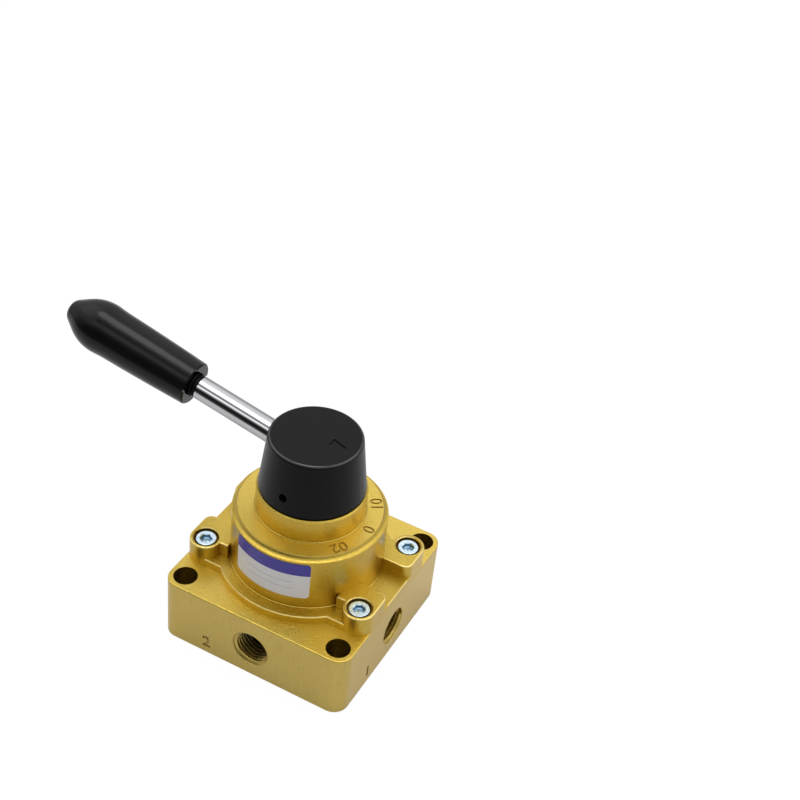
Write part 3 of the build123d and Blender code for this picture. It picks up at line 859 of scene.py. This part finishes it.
# %% Rod and its thread
ROD_STEPS = 128
ROD_OUTLINE = [(0, 6.8), (3.4, 6.8), (4.0, 7.4), (4.0, 44.8), (3.8, 45.0)]
ROD_OUTLINE += [(3.7, 45.0), (3.7, 69.4), (3.1, 70.0), (0, 70.0)]
ROD_THREAD_PITCH = 1.25 * MM
ROD_THREAD_ROOT_R = 3.6 * MM
ROD_THREAD_CREST_R = 3.98 * MM
ROD_THREAD_START = 45.2 * MM
ROD_THREAD_TURNS = 2.5


def along_lever(bm, start):
    """Lays a mesh made along +Z on the lever's axis, start metres from the hub's axis."""
    place = Matrix.Translation(LEVER_ORIGIN + LEVER_AXIS * start)
    bm.transform(place @ LEVER_AXIS.to_track_quat("Z", "Y").to_matrix().to_4x4())
    return bm


def plated_rod():
    """The rod's half outline, spun once round its axis."""
    bm = bmesh.new()
    points = [bm.verts.new((r * MM, 0, z * MM)) for r, z in ROD_OUTLINE]
    for pair in zip(points, points[1:]):
        bm.edges.new(pair)
    bmesh.ops.spin(bm, geom=bm.verts[:] + bm.edges[:], cent=(0, 0, 0), axis=(0, 0, 1),
                   angle=math.tau, steps=ROD_STEPS, use_merge=True)
    bmesh.ops.remove_doubles(bm, verts=bm.verts, dist=1e-7)
    bmesh.ops.recalc_face_normals(bm, faces=bm.faces)
    return along_lever(bm, 0)


rod = add_piece("plated_rod", plated_rod(), "turning_group", "chrome_rod")
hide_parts("lever_rod")
ridge = spun_ridge(ROD_THREAD_ROOT_R, ROD_THREAD_CREST_R, ROD_THREAD_PITCH, ROD_THREAD_TURNS)
add_piece("rod_thread", along_lever(ridge, ROD_THREAD_START), "turning_group", "chrome_rod")

# %% [markdown]
# The pieces inside are seldom seen, but they are real pieces, so each has its own finish. Turned
# steel and the hard anodised disc carry the fine rings of the lathe, which are a wave on the
# distance from the axis. Rubber, bronze, wire and the washer differ in grain and gloss.

# %% Finishes of the inner pieces
def plain_finish(name, low, high, grain_size, depth, roughness, **sockets):
    """A finish of two near colours over one grain, which also gives the relief."""
    finish = Finish(name, **sockets)
    grain = finish.place.noise(grain_size, detail=3)
    finish.set(base_color=grain.ramp(0.3, 0.7).colours((*low, 1), (*high, 1)))
    finish.set(roughness=grain * 0.12 + roughness)
    finish.relief(grain, depth, 0.6)
    return finish.material


def turned_finish(name, low, high, ring_pitch, roughness):
    """Metal off a lathe: fine rings round the Z axis and along it."""
    finish = Finish(name, metallic=1.0)
    x, y, z = finish.place.axes()
    rings = (length(x, y) + z) * (math.tau / ring_pitch)
    wave = rings.maths("SINE") * 0.5 + 0.5
    grain = finish.place.noise(0.6 * MM, detail=3)
    finish.set(base_color=grain.colours((*low, 1), (*high, 1)), roughness=grain * 0.15 + roughness)
    finish.relief(wave, 0.004 * MM, 0.5)
    return finish.material


finishes["seal_rubber"] = plain_finish("seal_rubber", (0.012, 0.012, 0.012), (0.025, 0.025, 0.025),
                                       0.4 * MM, 0.02 * MM, 0.5)
finishes["bearing_bronze"] = plain_finish("bearing_bronze", (0.42, 0.24, 0.09), (0.55, 0.34, 0.14),
                                          0.25 * MM, 0.02 * MM, 0.32, metallic=1.0)
finishes["white_plastic"] = plain_finish("white_plastic", (0.72, 0.71, 0.67), (0.8, 0.79, 0.76),
                                         0.8 * MM, 0.01 * MM, 0.38)
finishes["spring_steel"] = plain_finish("spring_steel", (0.35, 0.35, 0.37), (0.52, 0.52, 0.54),
                                        0.5 * MM, 0.006 * MM, 0.24, metallic=1.0)
finishes["ball_steel"] = plain_finish("ball_steel", (0.60, 0.60, 0.62), (0.70, 0.70, 0.72),
                                      0.9 * MM, 0.002 * MM, 0.06, metallic=1.0)
finishes["machined_steel"] = turned_finish("machined_steel", (0.42, 0.42, 0.44), (0.56, 0.56, 0.57),
                                           0.22 * MM, 0.24)
finishes["disc_alloy"] = turned_finish("disc_alloy", (0.16, 0.16, 0.17), (0.22, 0.22, 0.23),
                                       0.3 * MM, 0.3)
print("finishes", len(finishes))

# %% [markdown]
# Every node of the construction that still shows keeps its own shape and only changes its finish.
# The record says which material slot each node belongs to, and the finishes carry the same names.

# %% Dress the remaining nodes
for part in frame["record"]["subparts"]:
    node = frame["nodes"][part["node"]]
    node.data.materials.clear()
    node.data.materials.append(finishes[part["material_slot"]])
